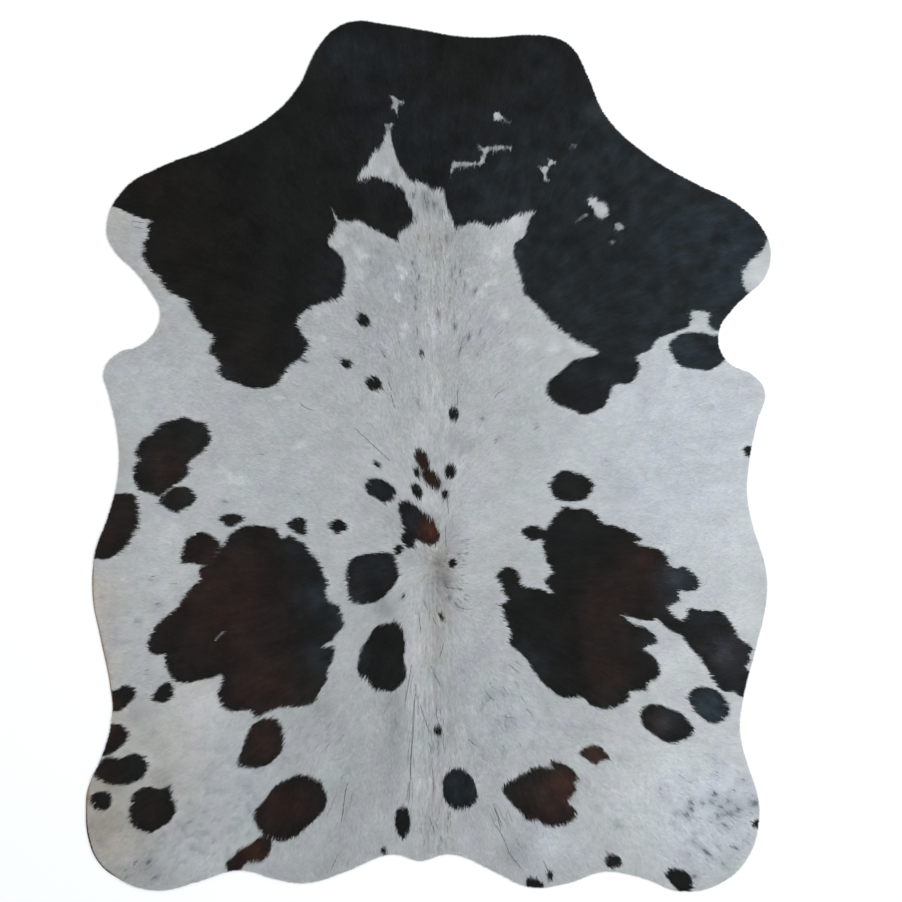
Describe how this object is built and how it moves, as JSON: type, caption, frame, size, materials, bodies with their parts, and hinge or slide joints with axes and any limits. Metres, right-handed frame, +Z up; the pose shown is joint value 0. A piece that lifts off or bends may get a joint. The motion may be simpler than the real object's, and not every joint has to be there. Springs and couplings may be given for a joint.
{
  "type": "cowhide rug",
  "caption": "Flat rug made of one whole cowhide with its hair on, pale grey with black and dark brown patches, trimmed to a smooth wavy edge.",
  "frame": {"origin": "on the flat underside, below the middle of the hide's outer box", "axes": "+Z up out of the hair side, +Y along the back towards the neck, +X to the right as the hair side is seen with the neck at the top"},
  "size_m": [1.644, 2.09, 0.0081],
  "materials": {
    "coat": "short lying hair, pale grey with black and dark brown patches",
    "flesh_side": "plain suede"
  },
  "bodies": {
    "root": {"hide": "coat"}
  },
  "joints": []
}
